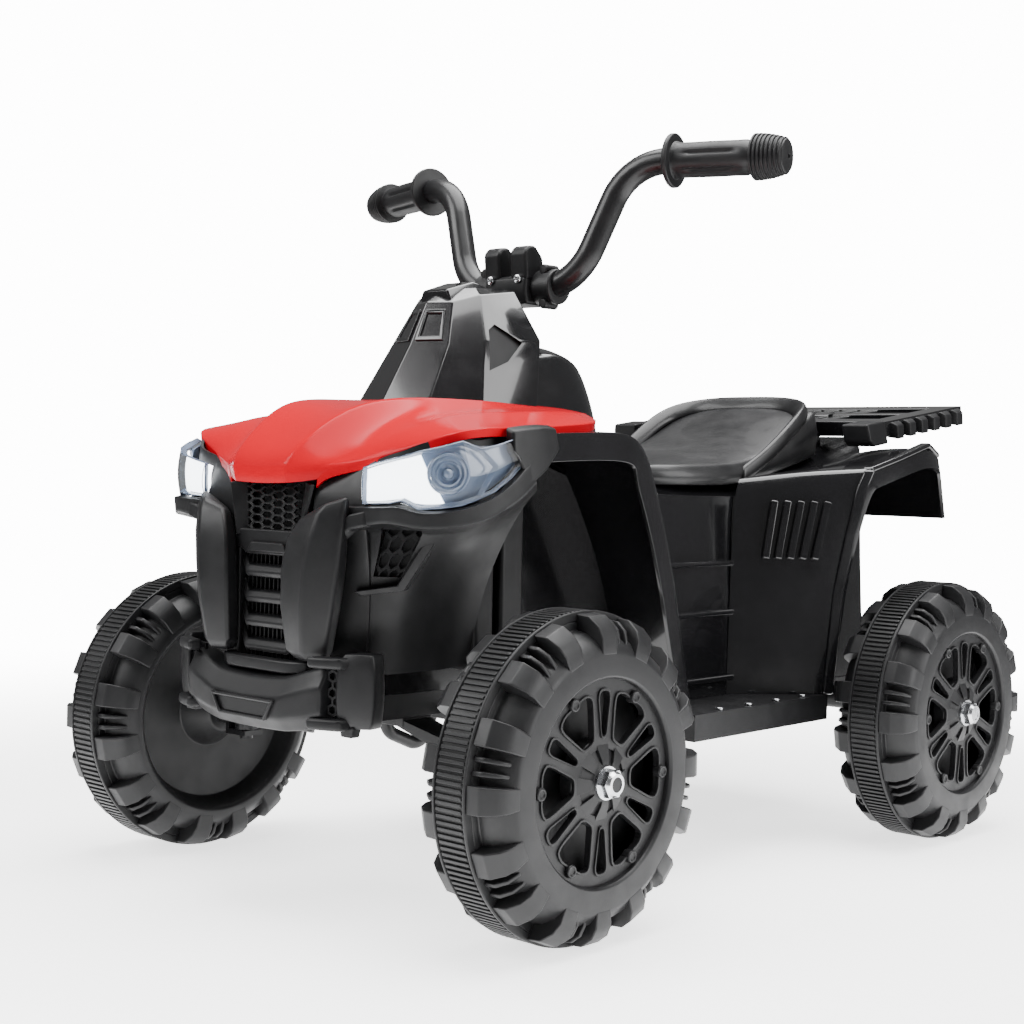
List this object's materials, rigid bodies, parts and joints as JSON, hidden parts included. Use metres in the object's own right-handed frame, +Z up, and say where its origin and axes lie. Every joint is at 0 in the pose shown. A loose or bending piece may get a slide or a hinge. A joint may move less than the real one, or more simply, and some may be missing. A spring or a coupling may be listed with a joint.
{
  "type": "kids quad bike",
  "caption": "Small electric ride-on quad bike with steered front wheels, handlebar, saddle, footwells, grille front with headlights and a slatted rear rack.",
  "frame": {"origin": "middle of the bounding box on the floor, under the wheels", "axes": "+X towards the rider's left, +Y towards the rear, +Z up"},
  "size_m": [0.4862, 0.752, 0.5676],
  "materials": {
    "red_gloss": "glossy moulded plastic",
    "black_gloss": "glossy moulded plastic",
    "black_matte": "matte moulded plastic",
    "seat_black": "satin moulded plastic",
    "grip_black": "soft moulded rubber",
    "bar_paint": "gloss black paint",
    "frame_paint": "black paint",
    "zinc": "bright zinc plating",
    "lens_clear": "clear plastic",
    "reflector_bright": "bright metallised plastic",
    "lamp_white": "milky white",
    "gear_nylon": "natural nylon",
    "motor_can": "drawn steel",
    "battery_case": "smooth case",
    "button_red": "glossy",
    "wheel_black": "matte blow-moulded plastic",
    "tread_black": "matte ribbed plastic"
  },
  "bodies": {
    "chassis": {"battery": "battery_case", "body_screws": "zinc", "charging_socket": "black_matte", "chassis_tray": "black_matte", "front_axle_beam": "frame_paint", "front_bumper": "black_matte", "front_fascia": "black_matte", "front_fender_left": "black_gloss", "front_fender_right": "black_gloss", "gearbox_housing": "black_matte", "grille_louvres": "black_matte", "grille_mesh": "black_matte", "guard_blades": "black_matte", "headlight_lamps": "lamp_white", "headlight_lens_left": "lens_clear", "headlight_lens_right": "lens_clear", "headlight_reflectors": "reflector_bright", "hood_cover": "red_gloss", "intake_meshes": "black_matte", "knee_cover": "black_gloss", "main_body": "black_gloss", "motor": "motor_can", "rear_axle": "zinc", "rear_axle_nuts": "zinc", "rear_fender_left": "black_gloss", "rear_fender_right": "black_gloss", "rear_rack": "black_gloss", "seat": "seat_black", "steering_bushes": "black_matte", "steering_pod": "black_gloss"},
    "steering": {"steering_column": "frame_paint", "clamp_base": "black_matte", "clamp_caps": "black_matte", "clamp_screws": "zinc", "handlebar_tube": "bar_paint", "grip_left": "grip_black", "grip_right": "grip_black"},
    "tie_rod": {"tie_rod": "frame_paint"},
    "knuckle_left": {"knuckle_left": "frame_paint", "hub_nut_left": "zinc"},
    "knuckle_right": {"knuckle_right": "frame_paint", "hub_nut_right": "zinc"},
    "wheel_front_left": {"wheel_outer_front_left": "wheel_black", "wheel_inner_front_left": "wheel_black", "tread_band_front_left": "tread_black"},
    "wheel_front_right": {"wheel_outer_front_right": "wheel_black", "wheel_inner_front_right": "wheel_black", "tread_band_front_right": "tread_black"},
    "wheel_rear_left": {"wheel_outer_rear_left": "wheel_black", "wheel_inner_rear_left": "wheel_black", "tread_band_rear_left": "tread_black"},
    "wheel_rear_right": {"wheel_outer_rear_right": "wheel_black", "wheel_inner_rear_right": "wheel_black", "tread_band_rear_right": "tread_black", "wheel_gear": "gear_nylon"},
    "idler": {"idler_gear": "gear_nylon"},
    "pinion": {"motor_pinion": "gear_nylon"},
    "pedal": {"throttle_pedal": "black_matte"},
    "rocker": {"direction_switch": "black_matte"},
    "button": {"power_button": "button_red"}
  },
  "joints": [
    {"name": "steering_turn", "type": "hinge", "parent": "chassis", "child": "steering", "pos_m": [0, -0.097, 0.454], "axis": [0, 0.3875, 0.9219], "range_deg": [-20, 20]},
    {"name": "tie_rod_shift", "type": "slide", "parent": "chassis", "child": "tie_rod", "axis": [1, 0, 0], "range_m": [-0.0165, 0.0165]},
    {"name": "knuckle_left_turn", "type": "hinge", "parent": "chassis", "child": "knuckle_left", "pos_m": [0.135, -0.26, 0.11], "axis": [0, 0, 1], "range_deg": [-21, 21]},
    {"name": "knuckle_right_turn", "type": "hinge", "parent": "chassis", "child": "knuckle_right", "pos_m": [-0.135, -0.26, 0.11], "axis": [0, 0, 1], "range_deg": [-21, 21]},
    {"name": "wheel_front_left_spin", "type": "hinge", "parent": "knuckle_left", "child": "wheel_front_left", "pos_m": [0.199, -0.26, 0.11], "axis": [1, 0, 0], "continuous": true},
    {"name": "wheel_front_right_spin", "type": "hinge", "parent": "knuckle_right", "child": "wheel_front_right", "pos_m": [-0.199, -0.26, 0.11], "axis": [1, 0, 0], "continuous": true},
    {"name": "wheel_rear_left_spin", "type": "hinge", "parent": "chassis", "child": "wheel_rear_left", "pos_m": [0.199, 0.221, 0.11], "axis": [1, 0, 0], "continuous": true},
    {"name": "wheel_rear_right_spin", "type": "hinge", "parent": "chassis", "child": "wheel_rear_right", "pos_m": [-0.199, 0.221, 0.11], "axis": [1, 0, 0], "continuous": true},
    {"name": "idler_spin", "type": "hinge", "parent": "chassis", "child": "idler", "pos_m": [-0.15, 0.18653, 0.13892], "axis": [1, 0, 0], "continuous": true},
    {"name": "pinion_spin", "type": "hinge", "parent": "chassis", "child": "pinion", "pos_m": [-0.146, 0.18653, 0.16892], "axis": [1, 0, 0], "continuous": true},
    {"name": "pedal_press", "type": "hinge", "parent": "chassis", "child": "pedal", "pos_m": [-0.117, 0.03999, 0.129], "axis": [1, 0, 0], "range_deg": [0, 10], "stiffness_Nm_per_rad": 0.6, "springref_deg": -17.19},
    {"name": "rocker_tilt", "type": "hinge", "parent": "chassis", "child": "rocker", "pos_m": [0, -0.04, 0.2985], "axis": [1, 0, 0], "range_deg": [-8, 8]},
    {"name": "button_press", "type": "slide", "parent": "chassis", "child": "button", "axis": [0, 0, -1], "range_m": [0, 0.003], "stiffness_N_per_m": 300, "springref_m": -0.003}
  ],
  "couplings": [
    {"joint": "tie_rod_shift", "follows": "steering_turn", "m_per_rad": -0.0445},
    {"joint": "knuckle_left_turn", "follows": "steering_turn", "ratio": 1},
    {"joint": "knuckle_right_turn", "follows": "steering_turn", "ratio": 1},
    {"joint": "idler_spin", "follows": "wheel_rear_right_spin", "ratio": -4},
    {"joint": "pinion_spin", "follows": "wheel_rear_right_spin", "ratio": 16}
  ]
}
